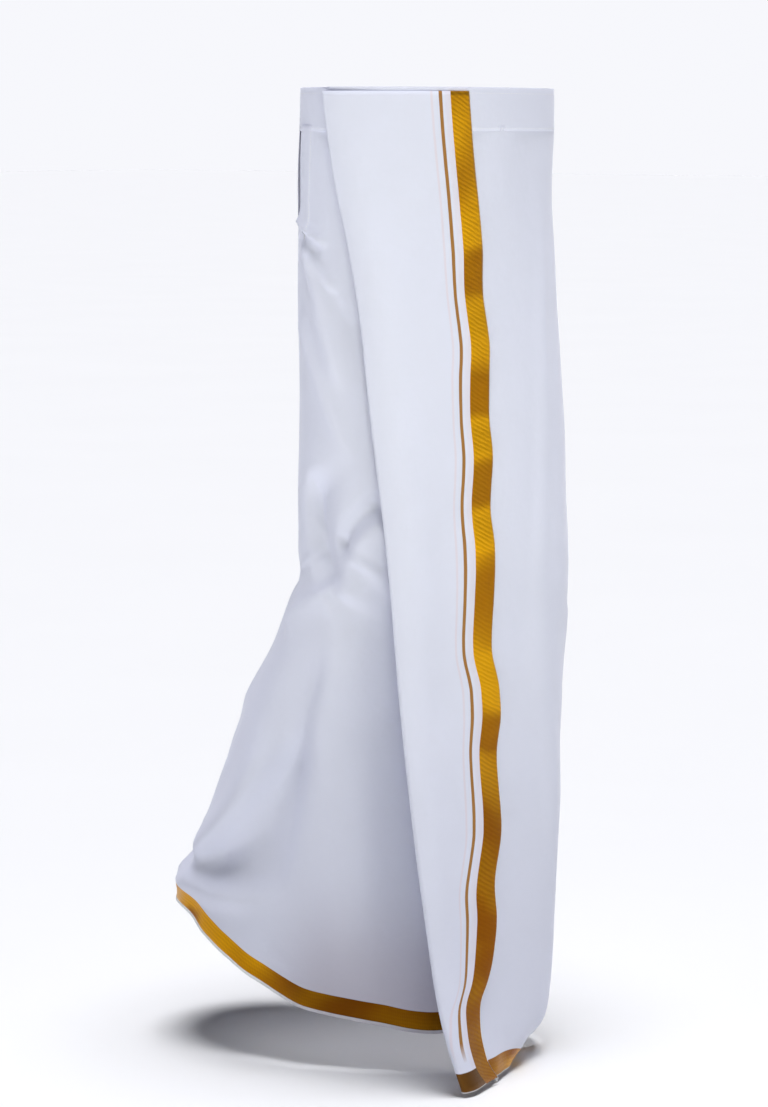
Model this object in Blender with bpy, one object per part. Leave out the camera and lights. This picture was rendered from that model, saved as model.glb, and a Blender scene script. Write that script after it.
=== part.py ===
"""A dhoti: one cut of white cotton wound about one and a half times round the wearer, with its end
turned back down the front and a pocket at the right hip.

It is modelled as it hangs on a general figure in mid step, in metres, +Z up. The wearer faces -Y and
the wearer's left is +X. The origin is the middle of the waist, level with the top of the waistband.

Two measures run through the file. A station is a length along the cloth from the side line at the
right hip: negative toward the inner end, positive round the back to the folded edge. A drop is a
depth below the top of the waistband.
"""

import math

import bpy
import numpy as np

# Cloth and layers
WALL = 0.0012
LAYER_PITCH = 0.0030
SEAM = 0.0003

# Waistband
BAND_TALL = 0.045
BAND_THICK = 0.0020

# Where one piece ends and the next begins, as stations
INNER_END = -0.500
SIDE_LINE = 0.0
LEFT_SEAM = 0.300
LAP_SEAM = 0.500
INNER_SEAM_ANGLE = 26.0

# The end turned back over the lap
TURN_PITCH = 0.0034
ROLL_TOP = 0.0022
ROLL_LOW = 0.0034
END_TOP = 0.004

# Pocket
MOUTH_OPEN = 0.024
MOUTH_LOW = 0.160
BAG_TOP = 0.0470
BAG_LOW = 0.300
BAG_FRONT = -0.112
BAG_BACK = -0.006
BAG_REAR = 0.0262
BAG_SEAM = 0.0014
BAG_GAPE = 0.025
BAG_CLEAR = 0.0030
BAG_SEAT = 0.0016

# Fineness of the meshes
ROWS_DOWN = 27
ROWS_AT_HEM = 9
HEM_SHARE = 0.89
COLUMN_STEP = 0.026
BAND_STEP = 0.016

# Angles run round the wearer from the front over the right side, in degrees. SIDE_ANGLE is the side
# line, ANGLES covers the whole winding.
SIDE_ANGLE = 121.0
ANGLES = np.arange(-116.0, 452.0, 0.25)
DROPS = np.arange(0.0, 1.0551, 0.005)
ROUNDNESS = 70.0

# The rounds each section is drawn about: the forward leg, the trailing leg and the loose side
# between them. Columns: drop, then x, y and radius of each.
SECTION_ROWS = np.array((
    (0.00, 0.0640, 0.0000, 0.0974, -0.0640, 0.0000, 0.1022, -0.060, 0.000, 0.060),
    (0.15, 0.0635, -0.0034, 0.0970, -0.0637, 0.0036, 0.1030, -0.060, 0.000, 0.060),
    (0.33, 0.0542, -0.0231, 0.0970, -0.0620, 0.0026, 0.1060, -0.060, 0.000, 0.060),
    (0.50, 0.0429, -0.0387, 0.0960, -0.0614, 0.0011, 0.1080, -0.058, 0.000, 0.064),
    (0.58, 0.0386, -0.0425, 0.0940, -0.0621, 0.0261, 0.1100, -0.056, 0.006, 0.070),
    (0.68, 0.0353, -0.0457, 0.0920, -0.0627, 0.0802, 0.1140, -0.052, 0.015, 0.080),
    (0.80, 0.0306, -0.0455, 0.0920, -0.0620, 0.1301, 0.1180, -0.048, 0.026, 0.090),
    (0.92, 0.0237, -0.0428, 0.0920, -0.0600, 0.1751, 0.1240, -0.044, 0.034, 0.100),
    (1.06, 0.0178, -0.0414, 0.0920, -0.0600, 0.1879, 0.1260, -0.042, 0.038, 0.104),
))

# The folded edge of the lap. Columns: drop, x, y, the way it faces, the radius it turns with.
FOLD_EDGE_ROWS = np.array((
    (0.000, -0.1780, -0.0040, 84.0, 0.030),
    (0.076, -0.1758, -0.0145, 84.0, 0.030),
    (0.217, -0.1644, -0.0398, 78.0, 0.030),
    (0.320, -0.1613, -0.0521, 70.0, 0.030),
    (0.475, -0.1556, -0.0716, 58.0, 0.030),
    (0.683, -0.1518, -0.0931, 44.0, 0.028),
    (0.861, -0.1461, -0.1144, 34.0, 0.026),
    (0.980, -0.1380, -0.1337, 28.0, 0.024),
    (1.045, -0.1269, -0.1519, 25.0, 0.022),
))

# The hem. Columns: station where the cloth reaches it, drop.
HEM_ROWS = np.array((
    (-0.60, 0.975), (-0.50, 0.992), (-0.42, 1.004), (-0.349, 1.004), (-0.28, 0.994),
    (-0.195, 0.980), (-0.139, 0.957), (-0.073, 0.920), (-0.006, 0.893), (0.039, 0.892),
    (0.10, 0.900), (0.23, 0.915), (0.36, 0.932), (0.48, 0.958), (0.54, 0.984), (0.58, 1.010),
    (0.62, 1.029), (0.66, 1.036), (0.70, 1.037), (0.767, 1.038), (0.834, 1.041),
))

# The free edge of the turned-back end. Columns: drop, length of cloth from the fold to the edge,
# how far the edge stands off the lap.
FREE_EDGE_ROWS = np.array((
    (0.000, 0.168, 0.0000), (0.129, 0.166, 0.0010), (0.167, 0.160, 0.0028), (0.219, 0.154, 0.0006),
    (0.270, 0.153, 0.0034), (0.300, 0.150, 0.0040), (0.344, 0.146, 0.0014), (0.380, 0.143, 0.0040),
    (0.438, 0.134, 0.0008), (0.480, 0.132, 0.0040), (0.532, 0.129, 0.0022), (0.585, 0.124, 0.0004),
    (0.650, 0.128, 0.0048), (0.695, 0.122, 0.0014), (0.775, 0.119, 0.0044), (0.837, 0.103, 0.0060),
    (0.870, 0.104, 0.0070), (0.909, 0.090, 0.0070), (0.950, 0.066, 0.0030), (1.000, 0.060, 0.0010),
    (1.045, 0.064, 0.0016),
))

# Creases and soft troughs. Columns: station and drop at one end, station and drop at the other,
# sideways bow, breadth on the one side and on the other, height (a trough is less than nought).
CREASE_ROWS = (
    (0.002, 0.147, -0.075, 0.222, 0.000, 0.0090, 0.0090, 0.0022),
    (0.012, 0.185, -0.055, 0.262, 0.000, 0.0120, 0.0120, 0.0018),
    (-0.052, 0.415, -0.060, 0.518, -0.006, 0.0190, 0.0190, -0.0105),
    (-0.108, 0.430, -0.062, 0.530, 0.008, 0.0100, 0.0100, 0.0050),
    (-0.062, 0.530, 0.028, 0.605, 0.004, 0.0130, 0.0130, 0.0070),
    (-0.006, 0.440, -0.004, 0.520, 0.018, 0.0090, 0.0090, 0.0030),
    (-0.085, 0.445, -0.120, 0.436, 0.000, 0.0100, 0.0100, -0.0035),
    (-0.062, 0.575, -0.128, 0.800, 0.004, 0.0200, 0.0200, -0.0060),
    (-0.085, 0.700, -0.022, 0.835, -0.004, 0.0140, 0.0140, 0.0070),
    (-0.112, 0.768, -0.026, 0.846, 0.006, 0.0200, 0.0160, -0.0120),
    (-0.034, 0.847, 0.130, 0.848, 0.000, 0.0240, 0.0120, -0.0130),
    (-0.130, 0.866, 0.110, 0.874, 0.000, 0.0120, 0.0300, 0.0060),
    (-0.165, 0.700, -0.240, 0.930, 0.000, 0.0300, 0.0300, 0.0050),
    (0.100, 0.300, 0.135, 0.820, 0.006, 0.0300, 0.0300, -0.0100),
    (0.175, 0.140, 0.195, 0.900, -0.004, 0.0260, 0.0260, 0.0080),
    (0.245, 0.260, 0.255, 0.880, 0.006, 0.0260, 0.0260, -0.0090),
    (0.060, 0.610, 0.075, 0.800, 0.000, 0.0200, 0.0200, 0.0060),
    (0.330, 0.120, 0.350, 0.900, 0.004, 0.0220, 0.0220, 0.0050),
    (0.400, 0.330, 0.435, 0.930, -0.004, 0.0240, 0.0240, 0.0060),
    (0.370, 0.470, 0.450, 0.560, 0.006, 0.0140, 0.0140, 0.0040),
    (0.512, 0.140, 0.520, 0.560, 0.000, 0.0110, 0.0110, 0.0024),
    (0.520, 0.560, 0.640, 0.990, 0.000, 0.0140, 0.0140, 0.0030),
    (0.540, 1.130, 0.740, 1.130, -0.044, 0.0550, 0.0550, -0.0520),
    (-0.595, 1.130, -0.395, 1.130, -0.044, 0.0550, 0.0550, -0.0560),
)

WHITE_COTTON = (0.80, 0.82, 0.86, 1.0)
INNER_COTTON = (0.72, 0.74, 0.80, 1.0)
POCKET_COTTON = (0.76, 0.77, 0.80, 1.0)
ZARI_END_COTTON = (0.84, 0.80, 0.68, 1.0)


def rows_at(rows, x, column):
    """A smooth, unwavering curve through one column of a table."""
    at, value = rows[:, 0], rows[:, column]
    slope = np.gradient(value, at)
    rise = np.diff(value) / np.diff(at)
    for i in range(1, len(at) - 1):
        limit = 3 * min(abs(rise[i - 1]), abs(rise[i])) if rise[i - 1] * rise[i] > 0 else 0
        slope[i] = min(max(slope[i], -limit), limit)
    x = np.clip(x, at[0], at[-1])
    i = np.clip(np.searchsorted(at, x) - 1, 0, len(at) - 2)
    gap = at[i + 1] - at[i]
    u = (x - at[i]) / gap
    return (value[i] * (1 + u * u * (2 * u - 3)) + slope[i] * gap * u * (1 - u) ** 2
            + value[i + 1] * u * u * (3 - 2 * u) + slope[i + 1] * gap * u * u * (u - 1))


def ease(x):
    """Nought to one with a soft start and a soft end."""
    x = np.clip(x, 0.0, 1.0)
    return x * x * (3 - 2 * x)


def outward(angle):
    """Unit vector in the section, away from the wearer."""
    a = np.radians(angle)
    return np.stack((-np.sin(a), -np.cos(a)), -1)


def onward(angle):
    """Unit vector along the cloth, the way the angles grow."""
    a = np.radians(angle)
    return np.stack((-np.cos(a), np.sin(a)), -1)


def reach(angle, drop):
    """How far the middle of the cloth stands out toward an angle at a drop."""
    n = outward(angle)
    rounds = []
    for first in (1, 4, 7):
        x, y, radius = (rows_at(SECTION_ROWS, drop, first + i) for i in range(3))
        rounds.append(x * n[:, 0] + y * n[:, 1] + radius)
    top = np.maximum.reduce(rounds)
    body = top + np.log(sum(np.exp(ROUNDNESS * (r - top)) for r in rounds) / 2) / ROUNDNESS
    x, y, facing, radius = (rows_at(FOLD_EDGE_ROWS, drop, c) for c in (1, 2, 3, 4))
    x, y = np.array((x, y)) - radius * outward(facing)
    edge = x * n[:, 0] + y * n[:, 1] + radius
    lapped = (body + edge + np.hypot(body - edge, 0.006)) / 2
    return body + ease((angle - 200) / 60) * (lapped - body) + LAYER_PITCH * (angle + 90) / 360


def wind(drop):
    """One section: stations, x and y at each of ANGLES."""
    step = 0.02
    turn = (reach(ANGLES + step, drop) - reach(ANGLES - step, drop)) / (2 * math.radians(step))
    points = reach(ANGLES, drop)[:, None] * outward(ANGLES) + turn[:, None] * onward(ANGLES)
    length = np.concatenate(([0], np.cumsum(np.hypot(*np.diff(points, axis=0).T))))
    return length - np.interp(SIDE_ANGLE, ANGLES, length), points[:, 0], points[:, 1]


WINDING = [wind(drop) for drop in DROPS]


def settle(station, drop):
    """Where the smooth cloth's middle lies, by station and drop: x and y, and the way it faces."""
    station, drop = np.broadcast_arrays(np.asarray(station, float), np.asarray(drop, float))
    row = np.clip(drop / (DROPS[1] - DROPS[0]), 0, len(DROPS) - 1.001)
    low = row.astype(int)
    found = np.zeros(station.shape + (3,))
    for k in np.unique(low):
        here = low == k
        for near, share in ((k, 1 - (row[here] - k)), (k + 1, row[here] - k)):
            stations, x, y = WINDING[near]
            for c, values in enumerate((x, y, ANGLES)):
                found[here, c] += share * np.interp(station[here], stations, values)
    return found[..., :2], found[..., 2]


def station_at(angle, drop):
    """The station that an angle has at each drop."""
    drop = np.asarray(drop, float)
    table = [np.interp(angle, ANGLES, stations) for stations, x, y in WINDING]
    return np.interp(drop, DROPS, table)


FOLD_STATIONS = [
    np.interp(360 + float(rows_at(FOLD_EDGE_ROWS, drop, 3)), ANGLES, WINDING[i][0])
    for i, drop in enumerate(DROPS)
]


def fold_station(drop):
    """The station of the folded edge at each drop."""
    return np.interp(drop, DROPS, FOLD_STATIONS)


def crease_height(station, drop):
    """How far the creases lift or sink the cloth."""
    height = np.zeros(np.broadcast(station, drop).shape)
    for s0, d0, s1, d1, bow, near, far, lift in CREASE_ROWS:
        run = math.hypot(s1 - s0, d1 - d0)
        us, ud = (s1 - s0) / run, (d1 - d0) / run
        along = ((station - s0) * us + (drop - d0) * ud) / run
        aside = (drop - d0) * us - (station - s0) * ud - bow * 4 * along * (1 - along)
        fade = ease((along + 0.15) / 0.30) * ease((1.15 - along) / 0.30)
        height += lift * fade * np.exp(-(aside / np.where(aside < 0, near, far)) ** 2)
    return height


def mouth(drop):
    """How wide the pocket's mouth stands open at a drop."""
    return MOUTH_OPEN * ease((MOUTH_LOW - drop) / 0.035)


def grid_points(start, end, top, share_across, share_down):
    """Points of a stretch of cloth between two edges, each a station as a function of drop.
    share_across and share_down run from nought to one, and each column ends on the hem."""
    across, down = np.meshgrid(share_across, share_down)
    low_station = start(0.95) + across * (end(0.95) - start(0.95))
    drop = top + down * (rows_at(HEM_ROWS, low_station, 1) - top)
    station = start(drop) + across * (end(drop) - start(drop))
    flat, facing = settle(station, drop)
    flat = flat + crease_height(station, drop)[..., None] * outward(facing)
    return np.dstack((flat, -drop))


def shares(length, step):
    """Even shares from nought to one, about one for each step of a length."""
    return np.linspace(0, 1, max(2, round(length / step)) + 1)


def roll(drop):
    """Radius of the soft roll at the folded edge."""
    return ROLL_TOP + (ROLL_LOW - ROLL_TOP) * ease((drop - 0.05) / 0.20)


def turned_points(share_down):
    """Points of the turned-back end: round the roll, then back over the lap to the free edge."""
    columns = []
    fold_low = fold_station(1.03)
    for turned in np.radians((8, 40, 75, 110, 145, 180)):
        hem = rows_at(HEM_ROWS, fold_low, 1)
        drop = END_TOP + share_down * (hem - END_TOP)
        flat, facing = settle(fold_station(drop), drop)
        r = roll(drop)[:, None]
        flat = flat + r * math.sin(turned) * onward(facing)
        flat = flat + r * (1 - math.cos(turned)) * outward(facing)
        columns.append(np.column_stack((flat, -drop)))
    for share in (0.05, 0.12, 0.22, 0.34, 0.47, 0.60, 0.72, 0.83, 0.92, 1.0):
        hem = rows_at(HEM_ROWS, fold_low - share * 0.064, 1)
        drop = END_TOP + share_down * (hem - END_TOP)
        back = share * rows_at(FREE_EDGE_ROWS, drop, 1)
        flat, facing = settle(fold_station(drop) - back, drop)
        clear = TURN_PITCH + (2 * roll(drop) - TURN_PITCH) * (1 - ease(back / 0.060))
        clear += rows_at(FREE_EDGE_ROWS, drop, 2) * ease((share - 0.45) / 0.55)
        clear += crease_height(fold_station(drop) - back, drop)
        columns.append(np.column_stack((flat + clear[:, None] * outward(facing), -drop)))
    return np.stack(columns, 1)


def bag_points():
    """Points of the pocket bag, from the mouth's front lip round its front end to the rear lip."""
    drop = np.linspace(BAG_TOP, BAG_LOW, 12)
    gape = BAG_GAPE * (0.25 + 0.75 * ease((drop - BAG_TOP) / 0.06))
    gape = gape * (1 - 0.12 * ease((drop - 0.20) / (BAG_LOW - 0.20)))
    columns = []
    columns.append((-0.0010 + 0 * drop, BAG_SEAT + 0 * drop))
    for station in np.linspace(-0.0160, BAG_FRONT, 6):
        columns.append((station + 0 * drop, BAG_CLEAR + 0 * drop))
    for turned in np.radians((45, 90, 135)):
        ahead = gape / 2 * math.sin(turned)
        columns.append((BAG_FRONT - ahead, BAG_CLEAR + gape / 2 * (1 - math.cos(turned))))
    for station in np.linspace(BAG_FRONT, BAG_BACK, 7):
        columns.append((station + 0 * drop, BAG_CLEAR + gape))
    rear = BAG_SEAM + (BAG_REAR - BAG_SEAM) * ease((MOUTH_LOW + 0.02 - drop) / 0.05)
    for share in (0.25, 0.5, 0.75, 1.0):
        station = BAG_BACK + share * (rear - BAG_BACK)
        columns.append((station, BAG_SEAT + (gape + BAG_CLEAR - BAG_SEAT) * (1 - ease(share))))
    points = []
    for station, inside in columns:
        flat, facing = settle(station, drop)
        points.append(np.column_stack((flat - inside[:, None] * outward(facing), -drop)))
    return np.stack(points, 1)


def cotton(name, colour):
    material = bpy.data.materials.new(name)
    material.use_nodes = True
    shader = material.node_tree.nodes["Principled BSDF"]
    shader.inputs["Base Color"].default_value = colour
    shader.inputs["Roughness"].default_value = 0.85
    shader.inputs["Metallic"].default_value = 0.0
    return material


def sheet(name, points, thickness, material, floor=False):
    """A cloth wall about a grid of points, as one closed solid. floor joins the two halves of the
    lowest row, as the bottom of a bag."""
    rows, columns = points.shape[:2]
    quads = []
    for i in range(rows - 1):
        for j in range(columns - 1):
            first = i * columns + j
            quads.append((first, first + columns, first + columns + 1, first + 1))
    if floor:
        low = (rows - 1) * columns
        for j in range((columns - 1) // 2):
            other = columns - 1 - j
            quad = (low + j, low + other, low + other - 1, low + j + 1)
            quads.append(quad if other - 1 > j + 1 else quad[:2] + (low + j + 1,))
    mesh = bpy.data.meshes.new(name)
    mesh.from_pydata([tuple(p) for p in points.reshape(-1, 3)], [], quads)
    mesh.materials.append(material)
    mesh.shade_smooth()
    thing = bpy.data.objects.new(name, mesh)
    bpy.context.scene.collection.objects.link(thing)
    wall = thing.modifiers.new("wall", "SOLIDIFY")
    wall.thickness = thickness
    wall.offset = 0.0
    wall.use_even_offset = True
    return thing


def clear_scene():
    for thing in list(bpy.data.objects):
        bpy.data.objects.remove(thing, do_unlink=True)


def main():
    clear_scene()
    white = cotton("white_cotton", WHITE_COTTON)
    inner = cotton("inner_cotton", INNER_COTTON)
    pocket = cotton("pocket_cotton", POCKET_COTTON)
    ended = cotton("zari_end_cotton", ZARI_END_COTTON)
    top = BAND_TALL + SEAM
    down = np.append(np.linspace(0, HEM_SHARE, ROWS_DOWN, endpoint=False),
                     np.linspace(HEM_SHARE, 1, ROWS_AT_HEM))

    def inner_start(drop):
        return INNER_END + 0 * drop

    def inner_seam(drop):
        return station_at(INNER_SEAM_ANGLE, drop)

    def side_front(drop):
        return SIDE_LINE - SEAM / 2 + 0 * drop

    def side_back(drop):
        return SIDE_LINE + SEAM / 2 + mouth(drop)

    def left_seam(drop):
        return LEFT_SEAM + 0 * drop

    def lap_seam(drop):
        return LAP_SEAM + 0 * drop

    sheet("inner_lap", grid_points(inner_start, lambda d: inner_seam(d) - SEAM, top,
                                   shares(0.34, COLUMN_STEP), down), WALL, inner)
    sheet("right_side", grid_points(inner_seam, side_front, top,
                                    shares(0.24, 0.020), down), WALL, white)
    sheet("back", grid_points(side_back, left_seam, top, shares(0.30, 0.022), down), WALL, white)
    sheet("left_side", grid_points(lambda d: left_seam(d) + SEAM, lap_seam, top,
                                   shares(0.20, 0.022), down), WALL, white)
    sheet("outer_lap", grid_points(lambda d: lap_seam(d) + SEAM, fold_station, top,
                                   shares(0.30, 0.022), down), WALL, white)
    sheet("turned_end", turned_points(np.linspace(0, 1, 42)), WALL, ended)

    across, drop = np.meshgrid(shares(1.30, BAND_STEP), (0.0, BAND_TALL / 2, BAND_TALL))
    station = INNER_END + across * (fold_station(drop) - INNER_END)
    flat, facing = settle(station, drop)
    sheet("waistband", np.dstack((flat, -drop)), BAND_THICK, white)
    sheet("pocket_bag", bag_points(), WALL, pocket, floor=True)


main()
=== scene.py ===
"""Looks of the dhoti: the cloth as thin shells on its solids' middle surfaces, with its creases, pocket,
stitches, loose yarns, woven cotton and zari.

Two measures run through the file, in metres. A station is a length along the cloth from the side
line at the right hip: negative toward the inner end, positive round the back to the folded edge. A
drop is a depth below the top of the waistband. The wearer faces -Y and the wearer's left is +X.
"""

import math

import bpy
import numpy as np
from mathutils import Euler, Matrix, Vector


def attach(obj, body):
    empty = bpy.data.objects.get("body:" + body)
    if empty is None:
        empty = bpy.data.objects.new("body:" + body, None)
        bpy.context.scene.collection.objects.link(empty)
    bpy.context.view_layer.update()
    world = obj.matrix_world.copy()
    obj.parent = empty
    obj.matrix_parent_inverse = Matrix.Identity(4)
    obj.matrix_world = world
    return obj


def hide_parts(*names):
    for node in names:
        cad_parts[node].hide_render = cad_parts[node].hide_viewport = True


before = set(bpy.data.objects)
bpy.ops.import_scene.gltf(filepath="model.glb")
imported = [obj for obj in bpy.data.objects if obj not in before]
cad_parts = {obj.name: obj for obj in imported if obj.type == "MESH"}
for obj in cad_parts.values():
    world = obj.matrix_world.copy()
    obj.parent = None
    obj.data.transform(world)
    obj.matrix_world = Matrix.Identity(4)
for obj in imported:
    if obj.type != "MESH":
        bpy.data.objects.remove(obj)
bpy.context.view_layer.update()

# Cloth, layers and waistband
COTTON_THICK = 0.0005
LAYER_PITCH = 0.0030
BAND_TALL = 0.045
BAND_THICK = 0.0020
BAND_LAP = 0.006
BAND_WAVE = 0.00018
BAND_WAVE_PITCH = 0.045
BAND_WAVE_FADE = 0.02

# The cloth's inner end, as a station, the way its inner seam faces, and the drop at which the stations
# along the hem are read
INNER_END = -0.500
INNER_SEAM_ANGLE = 26.0
HEM_READ = 0.95
SEAM_GAP = 0.0003

# The end turned back over the lap. TURN_PITCH is how far it lies off the lap, and its roll's radius
# grows from one at ROLL_FROM over a depth of ROLL_OVER. Its foot meets the fold at END_FOOT and runs
# back along END_TAPER of the hem. It lies flat LIE_FLAT from the fold, and its free edge stands off
# from STAND_OFF of its breadth on.
TURN_PITCH = 0.0034
ROLL_TOP = 0.0032
ROLL_LOW = 0.0038
ROLL_FROM = 0.05
ROLL_OVER = 0.20
END_TOP = 0.004
END_FOOT = 1.03
END_TAPER = 0.064
LIE_FLAT = 0.060
STAND_OFF = 0.45

# Pocket: its mouth, the hem of its front lip, and its bag. The bag's front end and its fold at the
# mouth are stations, and its gape is narrower at its neck and toward its floor.
MOUTH_OPEN = 0.024
MOUTH_LOW = 0.160
MOUTH_TAPER = 0.035
LIP_HEM = 0.021
LIP_RISE = 0.0016
LIP_SOFT = 0.003
LIP_FADE = 0.006
BAG_TOP = 0.0470
BAG_LOW = 0.300
BAG_FRONT = -0.112
BAG_BACK = -0.006
BAG_LIP = -0.0010
BAG_START = -0.0100
BAG_REAR = 0.0262
BAG_SEAM = 0.0014
BAG_GAPE = 0.025
BAG_NECK = 0.25
BAG_NECK_TALL = 0.06
BAG_NARROW = 0.12
BAG_NARROW_FROM = 0.20
BAG_PUCKER = 0.0005
BAG_CLEAR = 0.0030
BAG_SEAT = 0.0016

# Woven borders, as heights above the hem and widths in from the free edge. The lines beside the end's
# zari begin between the heights of LINE_CLEAR. The waistband is woven like the plain cloth that lies
# higher than CLEAR_OF_BORDERS.
HEM_SELVAGE = 0.0035
FRONT_SELVAGE = 0.0008
HEM_ZARI = 0.0195
END_SELVAGE = 0.0010
END_ZARI = 0.0250
THIN_ZARI_IN = 0.0362
THIN_ZARI = 0.0040
PINK_LINE_IN = 0.0470
PINK_LINE = 0.0026
PINK_STRIP = 0.0080
LINE_CLEAR = (0.030, 0.050)
CLEAR_OF_BORDERS = 0.2
BORDER_SOFT = 0.0003
BORDER_WANDER = 0.0006
YARN_PITCH = 0.00045

# Where the hem's selvage narrows toward the front, as stations
NARROWING = (0.50, 0.62)

# Ribs of the zari. The end band's ribs slant across it.
RIB_PITCH = 0.0040
END_RIB_PITCH = 0.0050
END_RIB_SLANT = 0.55

# The zari's colour carries a painted highlight where the cloth leans up more than the rows about it do
PAINTED_GLEAM_GAIN = 9.0
LEAN_ROWS = 14

# Heights above the hem between which the zari goes from darker to brighter
GOLD_DARKER_BELOW = 0.24
GOLD_BRIGHTER_ABOVE = 0.43

# The low stretch of the inner lap that is painted darker, for the shade it lies in: its reach in
# stations, its heights above the hem and how softly it begins
SHADED_REACH = (-0.40, -0.18)
SHADED_LOW = 0.020
SHADED_HIGH = 0.180
SHADED_SOFT = 0.05

# Texture cells for each metre across a yarn and along it
YARN_ACROSS = 1500.0
YARN_ALONG = 45.0

# How high the weave, the slubs, the handled crumple, the ribs and the edges stand
WEAVE_RELIEF = 0.00004
TWILL_RELIEF = 0.00006
SLUB_RELIEF = 0.00010
CRUMPLE_RELIEF = 0.0012
BAG_CRUMPLE_RELIEF = 0.0008
RIB_RELIEF = 0.00012
SELVAGE_RELIEF = 0.00010


def rgba(r, g, b):
    return (r, g, b, 1.0)


def dimmed(colour, share):
    return rgba(*(c * share for c in colour[:3]))


# Colours
WHITE = rgba(0.705, 0.725, 0.850)
SELVAGE_WHITE = rgba(0.80, 0.80, 0.78)
SHADED_WHITE = rgba(0.42, 0.39, 0.46)
PINK = rgba(0.72, 0.55, 0.57)
ZARI_BRIGHT = rgba(0.80, 0.405, 0.004)
ZARI_DEEP = rgba(0.255, 0.074, 0.0005)
ZARI_DULL = rgba(0.135, 0.062, 0.014)
ZARI_SHADED = rgba(0.10, 0.03, 0.001)
ZARI_THIN = rgba(0.38, 0.165, 0.008)
POCKET_WHITE = rgba(0.70, 0.71, 0.75)
THREAD_WHITE = rgba(0.86, 0.87, 0.89)

# Sewing
STITCH_PITCH = 0.0032
STITCH_LONG = 0.0023
YARN_THICK = 0.00038
STITCH_PROUD = YARN_THICK * 0.2
BAND_STITCH_IN = 0.003
TOP_STITCH_IN = 0.006
LIP_STITCH_IN = 0.006
LIP_STITCH_TOP = 0.008
LIP_STITCH_FOOT = 0.016

# Loose yarns at the free edge's lower corner: how many, how far along the hem they start, the hem's
# length over which that is told, their shortest and longest, and their radius
LOOSE_YARNS = 16
LOOSE_REACH = 0.022
LOOSE_SPAN = 0.030
LOOSE_SHORTEST = 0.0015
LOOSE_LONGEST = 0.0055
LOOSE_RADIUS = 0.00014

# Angles run round the wearer from the front over the right side, in degrees
SIDE_ANGLE = 121.0
ANGLES = np.arange(-116.0, 452.0, 0.25)
DROPS = np.arange(0.0, 1.0551, 0.005)

# How closely a section follows its rounds, the angle from which and the turn over which the lap goes
# out to its folded edge, and how softly it does
ROUNDNESS = 70.0
LAP_ANGLE = 200
LAP_TURN = 60
LAP_BLEND = 0.006

# The rounds each section is drawn about: the forward leg, the trailing leg and the loose side
# between them. Columns: drop, then x, y and radius of each.
SECTION_ROWS = np.array((
    (0.00, 0.0640, 0.0000, 0.0974, -0.0640, 0.0000, 0.1022, -0.060, 0.000, 0.060),
    (0.15, 0.0635, -0.0034, 0.0970, -0.0637, 0.0036, 0.1030, -0.060, 0.000, 0.060),
    (0.33, 0.0542, -0.0231, 0.0970, -0.0620, 0.0026, 0.1060, -0.060, 0.000, 0.060),
    (0.50, 0.0429, -0.0387, 0.0960, -0.0614, 0.0011, 0.1080, -0.058, 0.000, 0.064),
    (0.58, 0.0386, -0.0425, 0.0940, -0.0621, 0.0261, 0.1100, -0.056, 0.006, 0.070),
    (0.68, 0.0353, -0.0457, 0.0920, -0.0627, 0.0802, 0.1140, -0.052, 0.015, 0.080),
    (0.80, 0.0306, -0.0455, 0.0920, -0.0620, 0.1301, 0.1180, -0.048, 0.026, 0.090),
    (0.92, 0.0237, -0.0428, 0.0920, -0.0600, 0.1751, 0.1240, -0.044, 0.034, 0.100),
    (1.06, 0.0178, -0.0414, 0.0920, -0.0600, 0.1879, 0.1260, -0.042, 0.038, 0.104),
))

# The folded edge of the lap. Columns: drop, x, y, the way it faces, the radius it turns with.
FOLD_EDGE_ROWS = np.array((
    (0.000, -0.1724, -0.0107, 84.0, 0.030),
    (0.076, -0.1702, -0.0212, 84.0, 0.030),
    (0.217, -0.1567, -0.0490, 78.0, 0.030),
    (0.320, -0.1557, -0.0588, 70.0, 0.030),
    (0.475, -0.1517, -0.0762, 58.0, 0.030),
    (0.683, -0.1496, -0.0957, 44.0, 0.028),
    (0.861, -0.1436, -0.1174, 34.0, 0.026),
    (0.980, -0.1360, -0.1361, 28.0, 0.024),
    (1.045, -0.1257, -0.1533, 25.0, 0.022),
))

# The hem. Columns: station where the cloth reaches it, drop.
HEM_ROWS = np.array((
    (-0.60, 0.975), (-0.50, 0.992), (-0.42, 1.004), (-0.349, 1.004), (-0.28, 0.994),
    (-0.195, 0.980), (-0.139, 0.957), (-0.073, 0.920), (-0.006, 0.893), (0.039, 0.892),
    (0.10, 0.900), (0.23, 0.915), (0.36, 0.932), (0.48, 0.958), (0.54, 0.984), (0.58, 1.010),
    (0.62, 1.036), (0.66, 1.041), (0.70, 1.040), (0.767, 1.038), (0.834, 1.041),
))

# The free edge of the turned-back end. Columns: drop, length of cloth from the fold to the edge,
# how far the edge stands off the lap.
FREE_EDGE_ROWS = np.array((
    (0.000, 0.1560, 0.0000), (0.129, 0.1515, 0.0010), (0.167, 0.1467, 0.0030), (0.219, 0.1418, 0.0006),
    (0.262, 0.1417, 0.0030), (0.300, 0.1371, 0.0042), (0.344, 0.1347, 0.0014), (0.380, 0.1322, 0.0042),
    (0.438, 0.1239, 0.0008), (0.480, 0.1225, 0.0042), (0.532, 0.1192, 0.0022), (0.585, 0.1148, 0.0004),
    (0.630, 0.1209, 0.0040), (0.655, 0.1202, 0.0050), (0.695, 0.1145, 0.0014), (0.775, 0.1112, 0.0044),
    (0.841, 0.0907, 0.0060), (0.870, 0.0886, 0.0070), (0.899, 0.0835, 0.0070), (0.935, 0.0717, 0.0040),
    (0.955, 0.0565, 0.0024), (0.975, 0.0506, 0.0012), (1.001, 0.0468, 0.0008),
    (1.017, 0.0471, 0.0006), (1.027, 0.0509, 0.0006), (1.040, 0.0595, 0.0010),
))

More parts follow.
